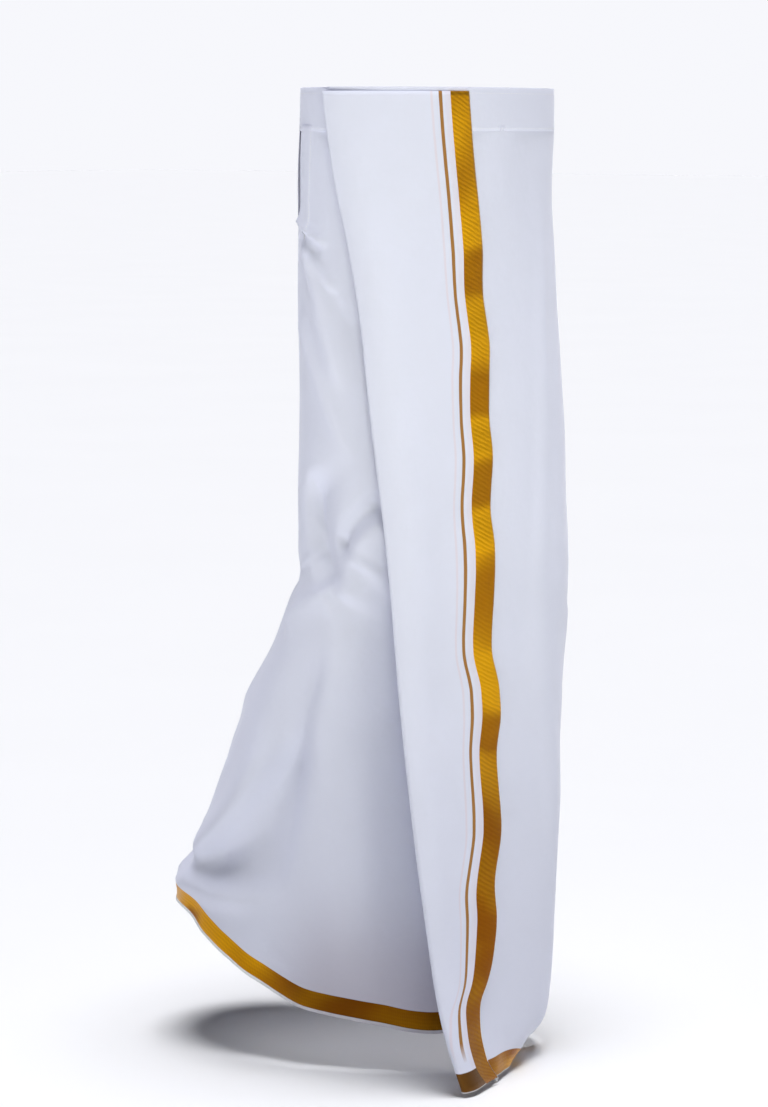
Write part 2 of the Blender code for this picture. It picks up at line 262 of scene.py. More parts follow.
# Creases and soft troughs, the ones at the right side first, then the back, the left and the front.
# Columns: station and drop at one end, station and drop at the other, sideways bow, breadth on the
# one side and on the other, sharpness (2 is round, nearer 1 is sharp), height (a trough is less
# than nought).
CREASE_ROWS = (
    # below the pocket
    (0.006, 0.136, -0.046, 0.160, -0.001, 0.0030, 0.0060, 1.5, 0.0056),
    (0.006, 0.152, -0.036, 0.172, 0.000, 0.0060, 0.0070, 1.8, -0.0030),
    (-0.006, 0.160, -0.058, 0.208, 0.000, 0.0050, 0.0080, 1.5, 0.0056),
    (0.000, 0.180, -0.060, 0.252, 0.000, 0.0060, 0.0070, 1.8, -0.0022),
    (-0.016, 0.170, -0.068, 0.300, 0.002, 0.0140, 0.0100, 1.6, 0.0080),
    (-0.030, 0.175, -0.088, 0.262, 0.000, 0.0070, 0.0090, 1.8, -0.0022),
    (0.000, 0.235, -0.075, 0.372, 0.002, 0.0140, 0.0100, 1.6, 0.0062),
    # beside the trailing knee
    (-0.014, 0.452, 0.002, 0.502, 0.019, 0.0055, 0.0045, 1.5, 0.0026),
    (-0.020, 0.412, -0.058, 0.520, -0.014, 0.0100, 0.0340, 1.6, -0.0175),
    (-0.120, 0.425, -0.064, 0.480, -0.006, 0.0110, 0.0100, 1.8, -0.0100),
    (-0.118, 0.450, -0.083, 0.485, 0.000, 0.0170, 0.0400, 1.6, 0.0095),
    (-0.083, 0.484, -0.0645, 0.523, 0.000, 0.0200, 0.0280, 1.4, 0.0105),
    (-0.028, 0.490, -0.058, 0.523, 0.000, 0.0120, 0.0040, 1.4, 0.0055),
    (-0.062, 0.527, -0.004, 0.562, -0.008, 0.0120, 0.0200, 1.6, 0.0085),
    (0.010, 0.517, 0.060, 0.515, 0.000, 0.0140, 0.0130, 1.8, -0.0052),
    # between the trailing knee and the hem
    (-0.132, 0.500, -0.365, 0.940, 0.000, 0.0560, 0.0400, 2.0, -0.0180),
    (0.044, 0.670, 0.062, 0.795, 0.000, 0.0300, 0.0300, 2.0, -0.0064),
    (-0.068, 0.600, -0.128, 0.850, 0.002, 0.0300, 0.0170, 2.0, -0.0130),
    (-0.077, 0.576, -0.140, 0.740, 0.004, 0.0200, 0.0300, 1.5, 0.0050),
    (-0.064, 0.700, 0.000, 0.830, 0.0185, 0.0260, 0.0145, 1.6, 0.0135),
    (-0.095, 0.690, -0.026, 0.838, 0.0160, 0.0130, 0.0420, 1.6, -0.0110),
    (-0.098, 0.790, -0.036, 0.832, 0.003, 0.0140, 0.0240, 1.8, -0.0050),
    (0.000, 0.846, 0.130, 0.848, 0.000, 0.0240, 0.0120, 1.8, -0.0070),
    (-0.125, 0.866, 0.090, 0.858, 0.000, 0.0150, 0.0150, 1.8, 0.0105),
    (-0.165, 0.700, -0.240, 0.930, 0.000, 0.0300, 0.0300, 2.0, 0.0060),
    (-0.247, 0.950, -0.272, 0.963, 0.000, 0.0040, 0.0050, 1.6, -0.0012),
    (-0.150, 0.925, -0.186, 0.942, 0.002, 0.0040, 0.0060, 1.6, -0.0012),
    # round the back and the left
    (0.100, 0.300, 0.135, 0.860, 0.006, 0.0300, 0.0300, 2.0, -0.0100),
    (0.175, 0.140, 0.195, 0.900, -0.004, 0.0260, 0.0200, 1.8, 0.0080),
    (0.245, 0.260, 0.255, 0.880, 0.006, 0.0260, 0.0260, 2.0, -0.0090),
    (0.060, 0.610, 0.075, 0.880, 0.000, 0.0200, 0.0200, 2.0, 0.0060),
    (0.140, 0.090, 0.080, 0.260, 0.004, 0.0120, 0.0160, 1.8, 0.0016),
    (0.225, 0.420, 0.150, 0.530, 0.006, 0.0100, 0.0160, 1.6, 0.0028),
    (0.330, 0.120, 0.350, 0.900, 0.004, 0.0220, 0.0200, 1.8, 0.0050),
    (0.400, 0.330, 0.435, 0.930, -0.004, 0.0240, 0.0240, 2.0, 0.0060),
    (0.350, 0.470, 0.410, 0.550, 0.006, 0.0110, 0.0160, 1.6, 0.0032),
    (0.430, 0.560, 0.455, 0.640, 0.000, 0.0260, 0.0260, 2.0, 0.0024),
    (0.300, 0.620, 0.380, 0.700, 0.004, 0.0120, 0.0180, 1.8, 0.0024),
    # down the front
    (0.512, 0.140, 0.520, 0.560, 0.000, 0.0110, 0.0110, 2.0, 0.0024),
    (0.520, 0.560, 0.640, 0.990, 0.000, 0.0140, 0.0140, 2.0, 0.0030),
    (0.690, 0.300, 0.700, 0.760, 0.003, 0.0240, 0.0300, 2.0, 0.0010),
    (0.590, 0.420, 0.660, 0.620, 0.004, 0.0260, 0.0260, 2.0, -0.0008),
    # the hem turned in under the front's left corner, and the inner lap with it
    (0.540, 1.131, 0.740, 1.131, -0.042, 0.0400, 0.0400, 2.0, -0.1580),
    (-0.595, 1.130, -0.395, 1.130, -0.044, 0.0550, 0.0550, 2.0, -0.0560),
)

# Slow swells of the loose cloth. Columns: waves per metre of station and of drop, phase, height.
SWELL_ROWS = (
    (5.2, 1.6, 0.7, 0.0007),
    (8.5, -2.4, 2.1, 0.0005),
    (3.1, 6.3, 4.0, 0.0005),
    (13.5, 3.7, 1.2, 0.00030),
    (-11.0, 8.6, 5.3, 0.00022),
)

# Ripples of the woven borders. Columns: waves per metre along them, phase, height.
RIPPLE_ROWS = ((9.0, 0.4, 0.0012), (15.5, 2.2, 0.0007), (27.0, 4.4, 0.0003))
RIPPLE_TALL = 0.10

# How far a crease fades out past its ends, as a share of its length, and how blunt its crest is
CREASE_FADE = 0.15
CREASE_BLUNT = 0.15

# Finer stretches of the meshes. Columns: step, from, to, as stations or drops.
FINE_ACROSS = ((0.0016, -0.026, -0.016), (0.0036, -0.135, 0.030))
FINE_DOWN = ((0.0038, 0.110, 0.240), (0.0036, 0.400, 0.620), (0.0046, 0.780, 0.880))
FINE_END = ((0.0052, 0.0, 1.1),)
COARSE = 0.0068
JOIN_WITHIN = 0.00002
WRAP_LOW = 0.97
END_LOW = 1.04

# Floor, room, lamps and view. The room's wall goes over to its ceiling between two heights, each the
# sine of the angle up from level.
FLOOR_LEVEL = -1.046
FLOOR_REACH = 60.0
WALL_TOP = 0.05
CEILING_FROM = 0.16
SUN_SPREAD = 30.0
LAMP_SIZE = 0.40
LAMP_CONE = 85.0
VIEW_SPOT = (-2.7577, -2.3140, -0.045)
VIEW_DOWN = 7.19
VIEW_TURN = -49.21
VIEW_LENS = 108.88
VIEW_SENSOR = 36.0


def rows_at(rows, x, column):
    """A smooth, unwavering curve through one column of a table."""
    at, value = rows[:, 0], rows[:, column]
    slope = np.gradient(value, at)
    rise = np.diff(value) / np.diff(at)
    for i in range(1, len(at) - 1):
        limit = 3 * min(abs(rise[i - 1]), abs(rise[i])) if rise[i - 1] * rise[i] > 0 else 0
        slope[i] = min(max(slope[i], -limit), limit)
    x = np.clip(x, at[0], at[-1])
    i = np.clip(np.searchsorted(at, x) - 1, 0, len(at) - 2)
    gap = at[i + 1] - at[i]
    u = (x - at[i]) / gap
    return (value[i] * (1 + u * u * (2 * u - 3)) + slope[i] * gap * u * (1 - u) ** 2
            + value[i + 1] * u * u * (3 - 2 * u) + slope[i + 1] * gap * u * u * (u - 1))


def ease(x):
    """Nought to one with a soft start and a soft end."""
    x = np.clip(x, 0.0, 1.0)
    return x * x * (3 - 2 * x)


def outward(angle):
    """Unit vector in the section, away from the wearer."""
    a = np.radians(angle)
    return np.stack((-np.sin(a), -np.cos(a)), -1)


def onward(angle):
    """Unit vector along the cloth, the way the angles grow."""
    a = np.radians(angle)
    return np.stack((-np.cos(a), np.sin(a)), -1)


def reach(angle, drop):
    """How far the middle of the cloth stands out toward an angle at a drop."""
    n = outward(angle)
    rounds = []
    for first in (1, 4, 7):
        x, y, radius = (rows_at(SECTION_ROWS, drop, first + i) for i in range(3))
        rounds.append(x * n[:, 0] + y * n[:, 1] + radius)
    top = np.maximum.reduce(rounds)
    body = top + np.log(sum(np.exp(ROUNDNESS * (r - top)) for r in rounds) / 2) / ROUNDNESS
    x, y, facing, radius = (rows_at(FOLD_EDGE_ROWS, drop, c) for c in (1, 2, 3, 4))
    x, y = np.array((x, y)) - radius * outward(facing)
    edge = x * n[:, 0] + y * n[:, 1] + radius
    lapped = (body + edge + np.hypot(body - edge, LAP_BLEND)) / 2
    return (body + ease((angle - LAP_ANGLE) / LAP_TURN) * (lapped - body)
            + LAYER_PITCH * (angle + 90) / 360)


def wind(drop):
    """One section: stations, x and y at each of ANGLES."""
    step = 0.02
    turn = (reach(ANGLES + step, drop) - reach(ANGLES - step, drop)) / (2 * math.radians(step))
    points = reach(ANGLES, drop)[:, None] * outward(ANGLES) + turn[:, None] * onward(ANGLES)
    length = np.concatenate(([0], np.cumsum(np.hypot(*np.diff(points, axis=0).T))))
    return length - np.interp(SIDE_ANGLE, ANGLES, length), points[:, 0], points[:, 1]


WINDING = [wind(drop) for drop in DROPS]


def settle(station, drop):
    """Where the smooth cloth's middle lies, by station and drop: x and y, and the way it faces."""
    station, drop = np.broadcast_arrays(np.asarray(station, float), np.asarray(drop, float))
    row = np.clip(drop / (DROPS[1] - DROPS[0]), 0, len(DROPS) - 1.001)
    low = row.astype(int)
    found = np.zeros(station.shape + (3,))
    for k in np.unique(low):
        here = low == k
        for near, share in ((k, 1 - (row[here] - k)), (k + 1, row[here] - k)):
            stations, x, y = WINDING[near]
            for c, values in enumerate((x, y, ANGLES)):
                found[here, c] += share * np.interp(station[here], stations, values)
    return found[..., :2], found[..., 2]


def station_at(angle, drop):
    """The station that an angle has at each drop."""
    table = [np.interp(angle, ANGLES, stations) for stations, x, y in WINDING]
    return np.interp(np.asarray(drop, float), DROPS, table)


FOLD_STATIONS = [
    np.interp(360 + float(rows_at(FOLD_EDGE_ROWS, drop, 3)), ANGLES, WINDING[i][0])
    for i, drop in enumerate(DROPS)
]


def fold_station(drop):
    """The station of the folded edge at each drop."""
    return np.interp(drop, DROPS, FOLD_STATIONS)


def hem_at(station):
    """The drop of the hem where the cloth reaches it at a station."""
    return rows_at(HEM_ROWS, station, 1)


def ripple(station, above):
    """The slight waving of the hem's woven border, by the height above the hem."""
    waving = sum(height * np.sin(2 * np.pi * waves * station + phase)
                 for waves, phase, height in RIPPLE_ROWS)
    return waving * ease(1 - above / RIPPLE_TALL)


def crease_height(station, drop):
    """How far the creases and swells lift or sink the cloth."""
    height = np.zeros(np.broadcast(station, drop).shape)
    for s0, d0, s1, d1, bow, near, far, sharp, lift in CREASE_ROWS:
        run = math.hypot(s1 - s0, d1 - d0)
        us, ud = (s1 - s0) / run, (d1 - d0) / run
        along = ((station - s0) * us + (drop - d0) * ud) / run
        aside = (drop - d0) * us - (station - s0) * ud - bow * 4 * along * (1 - along)
        fade = (ease((along + CREASE_FADE) / (2 * CREASE_FADE))
                * ease((1 + CREASE_FADE - along) / (2 * CREASE_FADE)))
        far_off = np.hypot(aside / np.where(aside < 0, near, far), CREASE_BLUNT) - CREASE_BLUNT
        height += lift * fade * np.exp(-far_off ** sharp)
    lip = ease((station + LIP_HEM + LIP_SOFT / 2) / LIP_SOFT) * ease((LIP_SOFT - station) / LIP_SOFT)
    height += LIP_RISE * lip * ease((MOUTH_LOW - LIP_FADE - drop) / LIP_FADE)
    for across, down, phase, swell in SWELL_ROWS:
        height += swell * np.sin(2 * np.pi * (across * station + down * drop) + phase)
    return height


def mouth(drop):
    """How wide the pocket's mouth stands open at a drop."""
    return MOUTH_OPEN * ease((MOUTH_LOW - drop) / MOUTH_TAPER)


def roll(drop):
    """Radius of the soft roll at the folded edge."""
    return ROLL_TOP + (ROLL_LOW - ROLL_TOP) * ease((drop - ROLL_FROM) / ROLL_OVER)


def shares(low, high, fine):
    """Uneven shares from nought to one between two lengths, closer where a finer step is stated."""
    marks = [low]
    while marks[-1] < high:
        steps = [step for step, begin, end in fine if begin <= marks[-1] < end]
        marks.append(marks[-1] + min(steps + [COARSE]))
    marks = np.array(marks)
    return (marks - low) / (marks[-1] - low)


def above_hem(points):
    """Lengths of cloth from the lowest row up to each row, down each column of a grid."""
    steps = np.linalg.norm(np.diff(points, axis=0), axis=2)
    down = np.vstack((np.zeros(points.shape[1]), np.cumsum(steps, axis=0)))
    return down[-1] - down


def cloth_grid(start, end, top, share_across, share_down):
    """Points and woven places of a stretch of cloth between two edges, each a station as a function
    of drop. Each column ends on the hem. A woven place is a station and a height above the hem."""
    across, down = np.meshgrid(share_across, share_down)
    low_station = start(HEM_READ) + across * (end(HEM_READ) - start(HEM_READ))
    hem = hem_at(low_station)
    drop = top + down * (hem - top)
    station = start(drop) + across * (end(drop) - start(drop))
    flat, facing = settle(station, drop)
    lift = crease_height(station, drop) + ripple(station, hem - drop)
    points = np.dstack((flat + lift[..., None] * outward(facing), -drop))
    return points, np.dstack((station, above_hem(points)))


def turned_grid(share_down):
    """Points and woven places of the turned-back end: round the roll, then back over the lap to the
    free edge. A woven place is a length in from the free edge and a height above the hem."""
    columns, places = [], []
    fold_foot = fold_station(END_FOOT)
    for turned in np.radians(np.linspace(0, 180, 15)):
        hem = hem_at(fold_foot)
        drop = END_TOP + share_down * (hem - END_TOP)
        flat, facing = settle(fold_station(drop), drop)
        r = roll(drop)[:, None]
        lift = (crease_height(fold_station(drop), drop) * ease(turned / math.pi))[:, None]
        flat = flat + r * math.sin(turned) * onward(facing)
        flat = flat + (r * (1 - math.cos(turned)) + lift) * outward(facing)
        columns.append(np.column_stack((flat, -drop)))
        inward = rows_at(FREE_EDGE_ROWS, drop, 1) + roll(drop) * (math.pi - turned)
        places.append(np.column_stack((inward, hem - drop)))
    for share in np.linspace(0.03, 1.0, 38):
        hem = hem_at(fold_foot - share * END_TAPER)
        drop = END_TOP + share_down * (hem - END_TOP)
        back = share * rows_at(FREE_EDGE_ROWS, drop, 1)
        flat, facing = settle(fold_station(drop) - back, drop)
        clear = TURN_PITCH + (2 * roll(drop) - TURN_PITCH) * (1 - ease(back / LIE_FLAT))
        clear += rows_at(FREE_EDGE_ROWS, drop, 2) * ease((share - STAND_OFF) / (1 - STAND_OFF))
        clear += crease_height(fold_station(drop) - back, drop)
        columns.append(np.column_stack((flat + clear[:, None] * outward(facing), -drop)))
        places.append(np.column_stack((rows_at(FREE_EDGE_ROWS, drop, 1) - back, hem - drop)))
    return np.stack(columns, 1), np.stack(places, 1)


def bag_grid():
    """Points and woven places of the pocket bag, from the mouth's front lip round its front end to
    the rear lip."""
    drop = np.linspace(BAG_TOP, BAG_LOW, 46)
    gape = BAG_GAPE * (BAG_NECK + (1 - BAG_NECK) * ease((drop - BAG_TOP) / BAG_NECK_TALL))
    gape = gape * (1 - BAG_NARROW * ease((drop - BAG_NARROW_FROM) / (BAG_LOW - BAG_NARROW_FROM)))
    columns = [(BAG_LIP + 0 * drop, BAG_SEAT + 0 * drop)]
    for station in np.linspace(BAG_START, BAG_FRONT, 16):
        columns.append((station + 0 * drop, BAG_CLEAR + 0 * drop))
    for turned in np.radians(np.linspace(20, 160, 8)):
        ahead = gape / 2 * math.sin(turned)
        columns.append((BAG_FRONT - ahead, BAG_CLEAR + gape / 2 * (1 - math.cos(turned))))
    for station in np.linspace(BAG_FRONT, BAG_BACK, 16):
        columns.append((station + 0 * drop, BAG_CLEAR + gape))
    rear = BAG_SEAM + (BAG_REAR - BAG_SEAM) * ease((MOUTH_LOW + 0.02 - drop) / 0.05)
    for share in np.linspace(0.1, 1.0, 9):
        station = BAG_BACK + share * (rear - BAG_BACK)
        columns.append((station, BAG_SEAT + (gape + BAG_CLEAR - BAG_SEAT) * (1 - ease(share))))
    points, places = [], []
    for i, (station, inside) in enumerate(columns):
        flat, facing = settle(station, drop)
        puckers = BAG_PUCKER * np.sin(37 * station + 61 * drop) * ease((drop - BAG_TOP) / 0.05)
        flat = flat - (inside + puckers * ease((len(columns) - 1 - i) / 9))[:, None] * outward(facing)
        points.append(np.column_stack((flat, -drop)))
        places.append(np.column_stack((i * 0.006 + 0 * drop, BAG_LOW - drop)))
    return np.stack(points, 1), np.stack(places, 1)


class Value:
    """A value that varies over a surface. Sums and products of it add the nodes that work them out."""

    def __init__(self, socket):
        self.socket = socket

    def node(self, kind, settings, sockets, output=0):
        """Adds a node to the same material, with its settings, stops, values and links."""
        tree = self.socket.id_data
        made = tree.nodes.new(kind)
        for name, setting in settings.items():
            if name == "stops":
                ramp = made.color_ramp
                while len(ramp.elements) < len(setting):
                    ramp.elements.new(0.5)
                for element, (place, colour) in zip(ramp.elements, setting):
                    element.position, element.color = place, colour
            else:
                setattr(made, name, setting)
        for key, fed in sockets.items():
            if isinstance(fed, Value):
                tree.links.new(fed.socket, made.inputs[key])
            else:
                made.inputs[key].default_value = fed
        return Value(made.outputs[output])

    def math(self, operation, *others):
        return self.node("ShaderNodeMath", {"operation": operation}, dict(enumerate((self, *others))))

    def __add__(self, other):
        return self.math("ADD", other)

    __radd__ = __add__

    def __mul__(self, other):
        return self.math("MULTIPLY", other)

    __rmul__ = __mul__

    def __sub__(self, other):
        return self.math("SUBTRACT", other)

    def __rsub__(self, other):
        return (self * -1.0) + other

    def rise(self, low, high, kind="SMOOTHSTEP"):
        """Nought at the first value and one at the second, with soft ends unless LINEAR is stated."""
        return self.node("ShaderNodeMapRange", {"interpolation_type": kind},
                         {"Value": self, "From Min": low, "From Max": high})

    def between(self, low, high, soft):
        """One where the value lies between low and high, nought elsewhere, with soft edges."""
        return self.rise(low - soft, low + soft) * (1.0 - self.rise(high - soft, high + soft))

    def wave(self, pitch, phase=0.0):
        """A smooth wave from nought to one, once every pitch."""
        return (self * (2 * math.pi / pitch) + phase).math("SINE") * 0.5 + 0.5

    def tint(self, low, high):
        """A colour between two, or between a colour and a varying one."""
        return self.node("ShaderNodeMix", {"data_type": "RGBA"}, {0: self, 6: low, 7: high}, 2)


def new_material(name):
    """A material with its shader, and the woven place it is painted by: two lengths in metres."""
    material = bpy.data.materials.new(name)
    material.use_nodes = True
    tree = material.node_tree
    shader = tree.nodes["Principled BSDF"]
    place = Value(tree.nodes.new("ShaderNodeUVMap").outputs[0])
    place.socket.node.uv_map = "woven"
    split = tree.nodes.new("ShaderNodeSeparateXYZ")
    tree.links.new(place.socket, split.inputs[0])
    return material, shader, place, Value(split.outputs[0]), Value(split.outputs[1])


def feed(shader, name, value):
    """Links a varying value to one of the shader's inputs."""
    shader.id_data.links.new(value.socket, shader.inputs[name])


def noise(place, scale, detail=2.0, rough=0.5):
    return place.node("ShaderNodeTexNoise", {"noise_dimensions": "3D"},
                      {"Vector": place, "Scale": scale, "Detail": detail, "Roughness": rough})


def stretched(place, across, along):
    """The place drawn out by a factor each way."""
    return place.node("ShaderNodeMapping", {}, {"Vector": place, "Scale": (across, along, 1.0)})


def relief(shader, height, strength=1.0, distance=1.0):
    """Makes the surface stand up by a height, in lengths of distance metres."""
    feed(shader, "Normal", height.node("ShaderNodeBump", {}, {"Strength": strength, "Distance": distance,
                                                              "Height": height}))


def end_borders(edge, y):
    """The zari band down the free edge, the thin zari line beside it, and the pink lines."""
    band = edge.between(END_SELVAGE, END_SELVAGE + END_ZARI, BORDER_SOFT)
    clear = y.rise(*LINE_CLEAR, "LINEAR")
    thin = edge.between(THIN_ZARI_IN, THIN_ZARI_IN + THIN_ZARI, BORDER_SOFT) * clear
    pink = edge.between(PINK_LINE_IN, PINK_LINE_IN + PINK_LINE, 0.0008) * clear * 0.7
    pink = pink + edge.between(END_ZARI, END_ZARI + PINK_STRIP, 0.0020) * 0.45
    return band, thin, pink


def zari_colour(place, y, rib, yarns, handling, dull, fade):
    """Gold thread, with a painted highlight where the cloth leans up, and brighter on its ribs and high
    up. Low down it is darker, keeping less of its painted highlight by a given share, and dull where
    stated."""
    # The painted highlight: the gold is lighter where the cloth leans up more than the cloth about it
    gleam = place.node("ShaderNodeAttribute", {"attribute_name": "gleam"}, {}, 2)
    higher_up = y.rise(GOLD_DARKER_BELOW, GOLD_BRIGHTER_ABOVE)
    painted_shine_and_yarns = gleam * (0.62 + rib * 0.45) * (higher_up * fade + (1.0 - fade)) + yarns * 0.12 + handling * 0.14
    gold = (painted_shine_and_yarns + higher_up * 0.23 - dull * 0.10 - 0.14).tint(ZARI_DEEP, ZARI_BRIGHT)
    return (dull * 0.90).tint(gold, ZARI_DULL)


def woven_cotton(name, end_band):
    """White cotton with a zari band along the hem, and one in from the free edge where stated."""
    material, shader, place, x, y = new_material(name)
    solid = place.node("ShaderNodeTexCoord", {}, {}, 3)

    # the weave, its thicker and thinner yarns, and the crumple of handled cloth
    warp_slubs = noise(stretched(place, YARN_ACROSS, YARN_ALONG), 1.0)
    weft_slubs = noise(stretched(place, YARN_ALONG, YARN_ACROSS), 1.0)
    slubs = warp_slubs * 0.5 + weft_slubs * 0.5
    yarns = slubs.rise(0.28, 0.48)
    weave = x.wave(2 * YARN_PITCH) * y.wave(2 * YARN_PITCH)
    handling = noise(solid, 26.0, 3.0, 0.55)
    wander = (noise(place, 40.0, 1.0) - 0.5) * BORDER_WANDER

    # where the borders lie
    narrowing = (HEM_SELVAGE - FRONT_SELVAGE) * (1.0 if end_band else x.rise(*NARROWING, "LINEAR"))
    low = y + wander + narrowing
    zari = low.between(HEM_SELVAGE, HEM_SELVAGE + HEM_ZARI, BORDER_SOFT)
    selvage = low.between(-0.01, HEM_SELVAGE, BORDER_SOFT)
    uneven = (noise(place, 60.0) - 0.5) * RIB_PITCH
    rib = (y + uneven).wave(RIB_PITCH) * 0.5 + x.wave(RIB_PITCH * 0.5) * 0.5
    thin = pink = dull = zari * 0.0
    if end_band:
        band, thin, pink = end_borders(x + wander, y)
        rib = rib + band * ((y - x * END_RIB_SLANT + uneven).wave(END_RIB_PITCH) - rib)
        dull = zari * (1.0 - band)
        selvage = selvage.math("MAXIMUM", x.between(-0.01, END_SELVAGE, 0.0002))
        zari = zari.math("MAXIMUM", band)

    # the colours, each laid over the one before
    shade = y.rise(SHADED_HIGH, SHADED_LOW) * x.between(*SHADED_REACH, SHADED_SOFT)
    ground = (slubs * 0.5 + handling * 0.5).tint(dimmed(WHITE, 0.955), WHITE)
    ground = (selvage * 0.8).tint(ground, SELVAGE_WHITE)
    ground = (pink * 0.45).tint(ground, PINK)
    ground = (thin * 0.95).tint(ground, ZARI_THIN)
    ground = (shade * 0.68).tint(ground, SHADED_WHITE)
    gold = zari_colour(place, y, rib, yarns, handling, dull, 0.72 if end_band else 0.25)
    gold = (shade * 0.70).tint(gold, ZARI_SHADED)
    feed(shader, "Base Color", zari.tint(ground, gold))

    # the finish: metal thread in the zari, soft sheen on the cotton
    metal = zari.math("MAXIMUM", thin * 0.5)
    feed(shader, "Metallic", metal * (yarns * 0.20 + 0.72))
    feed(shader, "Roughness", 0.86 - metal * 0.38 + slubs * 0.06)
    shader.inputs["Sheen Weight"].default_value = 0.30
    shader.inputs["Sheen Roughness"].default_value = 0.35
    shader.inputs["Specular IOR Level"].default_value = 0.20
    relief(shader, weave * WEAVE_RELIEF + slubs * SLUB_RELIEF + handling * CRUMPLE_RELIEF
           + zari * (rib + 1.0) * RIB_RELIEF + selvage * SELVAGE_RELIEF + thin * RIB_RELIEF)
    return material


def pocketing(name):
    """The pocket bag's thin twill."""
    material, shader, place, x, y = new_material(name)
    solid = place.node("ShaderNodeTexCoord", {}, {}, 3)
    slubs = noise(stretched(place, 1200.0, 60.0), 1.0)
    twill = (x + y).wave(3 * YARN_PITCH)
    handling = noise(solid, 30.0, 3.0, 0.55)
    mottle = slubs * 0.5 + handling * 0.5
    feed(shader, "Base Color", mottle.tint(dimmed(POCKET_WHITE, 0.94), POCKET_WHITE))
    feed(shader, "Roughness", 0.88 + slubs * 0.06)
    shader.inputs["Specular IOR Level"].default_value = 0.25
    relief(shader, twill * TWILL_RELIEF + slubs * SLUB_RELIEF + handling * BAG_CRUMPLE_RELIEF)
    return material


def sewing_thread(name):
    """Twisted cotton thread."""
    material = bpy.data.materials.new(name)
    material.use_nodes = True
    shader = material.node_tree.nodes["Principled BSDF"]
    solid = Value(material.node_tree.nodes.new("ShaderNodeTexCoord").outputs[3])
    twist = noise(solid, 900.0, 1.0)
    feed(shader, "Base Color", twist.tint(dimmed(THREAD_WHITE, 0.86), THREAD_WHITE))
    feed(shader, "Roughness", 0.70 + twist * 0.15)
    relief(shader, twist, 0.4, 0.0002)
    return material


def new_object(name, mesh, material):
    mesh.materials.append(material)
    thing = bpy.data.objects.new(name, mesh)
    bpy.context.scene.collection.objects.link(thing)
    return thing


def painted_gleaming(grids, lean):
    """The painted highlight of the zari at each point of some grids: by how much more the cloth leans up
    there than it does on average over the rows about it."""
    gleam = []
    for grid in grids:
        rows, columns = grid.shape[:2]
        base = sum(len(g) for g in gleam)
        here = lean[base:base + rows * columns].reshape(rows, columns)
        padded = np.pad(here, ((LEAN_ROWS, LEAN_ROWS), (0, 0)), "edge")
        total = np.cumsum(np.vstack((np.zeros(columns), padded)), axis=0)
        slow = (total[2 * LEAN_ROWS + 1:] - total[:-2 * LEAN_ROWS - 1]) / (2 * LEAN_ROWS + 1)
        gleam.append(ease(0.5 + PAINTED_GLEAM_GAIN * (here - slow)).ravel())
    return np.concatenate(gleam)


def quad_mesh(name, grids, places, floor=False):
    """One smooth mesh of grids of points, with each point's woven place as its UV map. Grids that
    meet are joined. floor joins the two halves of the lowest row, as the bottom of a bag."""
    points, spots, quads = [], [], []
    for grid, place in zip(grids, places):
        rows, columns = grid.shape[:2]
        base = sum(len(p) for p in points)
        i, j = np.meshgrid(np.arange(rows - 1), np.arange(columns - 1), indexing="ij")
        first = base + (i * columns + j).ravel()
        quads += np.stack((first, first + columns, first + columns + 1, first + 1), 1).tolist()
        points.append(grid.reshape(-1, 3))
        spots.append(place.reshape(-1, 2))
        if floor:
            low = base + (rows - 1) * columns
            for k in range((columns - 1) // 2):
                other = columns - 1 - k
                quad = [low + k, low + other, low + other - 1, low + k + 1]
                quads.append(quad if other - 1 > k + 1 else quad[:3])
    points, spots = np.vstack(points), np.vstack(spots)
    keys = np.round(points / JOIN_WITHIN).astype(int)
    kept, first_of, joined = np.unique(keys, axis=0, return_index=True, return_inverse=True)
    joined = joined.ravel()
    mesh = bpy.data.meshes.new(name)
    mesh.from_pydata(points[first_of].tolist(), [], [[int(joined[v]) for v in q] for q in quads])
    layer = mesh.uv_layers.new(name="woven")
    corners = np.array([v for q in quads for v in q])
    layer.data.foreach_set("uv", spots[corners].ravel())
    mesh.shade_smooth()
    # The zari's painted highlight, from how far the cloth leans up, kept on each point
    lean = np.array([v.vector[2] for v in mesh.vertex_normals])[joined]
    layer = mesh.attributes.new("gleam", "FLOAT", "POINT")
    layer.data.foreach_set("value", painted_gleaming(grids, lean)[first_of])
    return mesh


def cloth(name, grids, places, material, floor=False):
    """A piece of cloth: a closed wall about the surface of its grids."""
    thing = new_object(name, quad_mesh(name, grids, places, floor), material)
    wall = thing.modifiers.new("wall", "SOLIDIFY")
    wall.thickness = COTTON_THICK
    wall.offset = 0.0
    wall.use_even_offset = True
    return thing


def dress(thing, slot, *nodes):
    """Every piece rides on the one body and stands for its solids. The name of its finish is not used."""
    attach(thing, "root")
    if nodes:
        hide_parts(*nodes)


